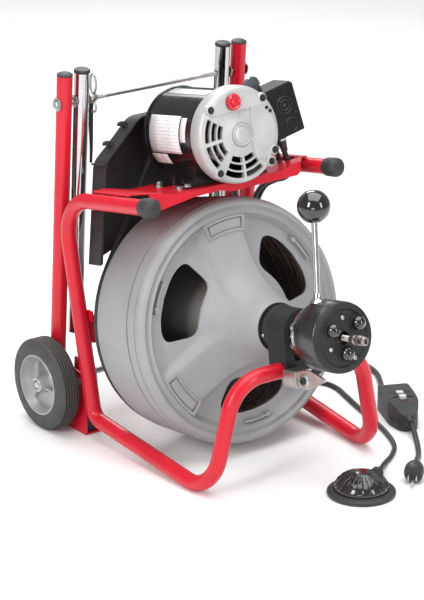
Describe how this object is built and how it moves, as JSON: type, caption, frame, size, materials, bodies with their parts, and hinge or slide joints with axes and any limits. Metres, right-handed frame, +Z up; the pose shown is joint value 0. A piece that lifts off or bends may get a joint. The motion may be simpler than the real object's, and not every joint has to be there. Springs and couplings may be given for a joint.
{
  "type": "drum drain cleaning machine",
  "caption": "Wheeled drain snake machine with a tilted grey cable drum, belt-drive motor, lever-operated power feed, red tube frame, air foot switch and power cord.",
  "frame": {"origin": "centre of the machine's bounding box on the floor, leaving out the loose cords and what is on them", "axes": "+X towards the cable outlet, +Y towards the machine's left side, where the switch box is, +Z up; the drum, motor and feed axes rise 11 degrees towards +X"},
  "size_m": [0.679, 0.6129, 0.6008],
  "materials": {
    "red_paint": "gloss",
    "chrome": "polished",
    "zinc_steel": "satin",
    "black_paint": "gloss",
    "black_plastic": "satin",
    "drum_plastic": "satin",
    "cast_grey": "satin",
    "grip_rubber": "matte",
    "tyre_rubber": "matte",
    "hub_plastic": "satin",
    "cable_steel": "oiled",
    "red_plastic": "gloss",
    "belt_rubber": "matte",
    "cord_rubber": "matte",
    "gloss_black": "gloss",
    "key_plastic": "satin"
  },
  "bodies": {
    "frame": {"side_tube_right": "red_paint", "side_tube_left": "red_paint", "upright_right": "red_paint", "upright_left": "red_paint", "foot_bracket_right": "red_paint", "foot_bracket_left": "red_paint", "axle": "zinc_steel", "rear_crossbar": "red_paint", "motor_channel": "red_paint", "front_bracket": "black_paint", "front_bearing": "zinc_steel", "grip_cap_right": "grip_rubber", "grip_cap_left": "grip_rubber", "handle_rod": "zinc_steel", "wing_nut": "zinc_steel", "belt_guard": "black_plastic", "drive_belt": "belt_rubber", "motor_shell": "black_paint", "motor_front_bell": "cast_grey", "motor_rear_bell": "black_paint", "motor_cradle": "black_paint", "switch_box": "black_paint", "feed_back_plate": "chrome", "feed_support": "chrome", "air_hose": "cord_rubber", "pedal_base": "cord_rubber", "power_lead": "cord_rubber", "power_coil": "cord_rubber", "power_tail": "cord_rubber", "gfci_case": "cord_rubber", "plug_lead": "cord_rubber", "plug": "cord_rubber"},
    "drum": {"drum_front_shell": "drum_plastic", "drum_rear_shell": "drum_plastic", "inner_drum": "black_plastic", "cable_coil": "cable_steel", "cable_end": "zinc_steel", "drum_shaft": "zinc_steel"},
    "rotor": {"motor_rotor": "zinc_steel", "motor_pulley": "zinc_steel"},
    "wheel_r": {"tyre_right": "tyre_rubber", "wheel_hub_right": "hub_plastic"},
    "wheel_l": {"tyre_left": "tyre_rubber", "wheel_hub_left": "hub_plastic"},
    "handle_r": {"handle_tube_right": "chrome", "handle_cap_right": "black_plastic"},
    "handle_l": {"handle_tube_left": "chrome", "handle_cap_left": "black_plastic"},
    "feed_head": {"feed_housing": "chrome", "feed_front_plate": "black_paint", "feed_lever": "chrome", "feed_knob": "gloss_black"},
    "roller_a": {"feed_roller_1": "zinc_steel"},
    "roller_b": {"feed_roller_2": "zinc_steel"},
    "roller_c": {"feed_roller_3": "zinc_steel"},
    "switch_dial": {"switch_knob": "black_plastic"},
    "reset": {"reset_button": "red_plastic"},
    "pedal": {"pedal_dome": "cord_rubber"},
    "test_key": {"gfci_test_button": "key_plastic"},
    "reset_key": {"gfci_reset_button": "key_plastic"}
  },
  "joints": [
    {"name": "drum_spin", "type": "hinge", "parent": "frame", "child": "drum", "pos_m": [0.01194, 0, 0.2158], "axis": [0.9816, 0, 0.1908], "continuous": true},
    {"name": "motor_spin", "type": "hinge", "parent": "frame", "child": "rotor", "pos_m": [-0.00485, 0.009, 0.519], "axis": [0.9816, 0, 0.1908], "continuous": true},
    {"name": "wheel_right_spin", "type": "hinge", "parent": "frame", "child": "wheel_r", "pos_m": [-0.24826, -0.2025, 0.076], "axis": [0, 1, 0], "continuous": true},
    {"name": "wheel_left_spin", "type": "hinge", "parent": "frame", "child": "wheel_l", "pos_m": [-0.24826, 0.2025, 0.076], "axis": [0, 1, 0], "continuous": true},
    {"name": "handle_right_slide", "type": "slide", "parent": "frame", "child": "handle_r", "axis": [0.0715, 0, 0.9974], "range_m": [0, 0.22]},
    {"name": "handle_left_slide", "type": "slide", "parent": "frame", "child": "handle_l", "axis": [0.0715, 0, 0.9974], "range_m": [0, 0.22]},
    {"name": "feed_turn", "type": "hinge", "parent": "frame", "child": "feed_head", "pos_m": [0.23771, 0, 0.25969], "axis": [0.9816, 0, 0.1908], "range_deg": [-25, 25]},
    {"name": "roller_1_skew", "type": "hinge", "parent": "frame", "child": "roller_a", "pos_m": [0.24036, -0.01971, 0.27227], "axis": [-0.0983, -0.8572, 0.5056], "range_deg": [-15, 15]},
    {"name": "roller_2_skew", "type": "hinge", "parent": "frame", "child": "roller_b", "pos_m": [0.24036, 0.01971, 0.27227], "axis": [-0.0983, 0.8572, 0.5056], "range_deg": [-15, 15]},
    {"name": "roller_3_skew", "type": "hinge", "parent": "frame", "child": "roller_c", "pos_m": [0.24701, 0.0004, 0.23807], "axis": [0.1908, 0.0175, -0.9815], "range_deg": [-15, 15]},
    {"name": "switch_turn", "type": "hinge", "parent": "frame", "child": "switch_dial", "pos_m": [-0.09224, 0.09989, 0.54929], "axis": [-0.187, -0.1994, 0.9619], "range_deg": [-45, 45]},
    {"name": "reset_press", "type": "slide", "parent": "frame", "child": "reset", "axis": [-0.9816, 0, -0.1908], "range_m": [0, 0.003], "stiffness_N_per_m": 400},
    {"name": "pedal_press", "type": "slide", "parent": "frame", "child": "pedal", "axis": [0, 0, -1], "range_m": [0, 0.006], "stiffness_N_per_m": 2500},
    {"name": "gfci_test_press", "type": "slide", "parent": "frame", "child": "test_key", "axis": [0, 0, -1], "range_m": [0, 0.003], "stiffness_N_per_m": 400},
    {"name": "gfci_reset_press", "type": "slide", "parent": "frame", "child": "reset_key", "axis": [0, 0, -1], "range_m": [0, 0.003], "stiffness_N_per_m": 400}
  ],
  "couplings": [
    {"joint": "motor_spin", "follows": "drum_spin", "ratio": 7.835},
    {"joint": "handle_left_slide", "follows": "handle_right_slide", "ratio": 1},
    {"joint": "roller_1_skew", "follows": "feed_turn", "ratio": 0.6},
    {"joint": "roller_2_skew", "follows": "feed_turn", "ratio": 0.6},
    {"joint": "roller_3_skew", "follows": "feed_turn", "ratio": 0.6}
  ]
}
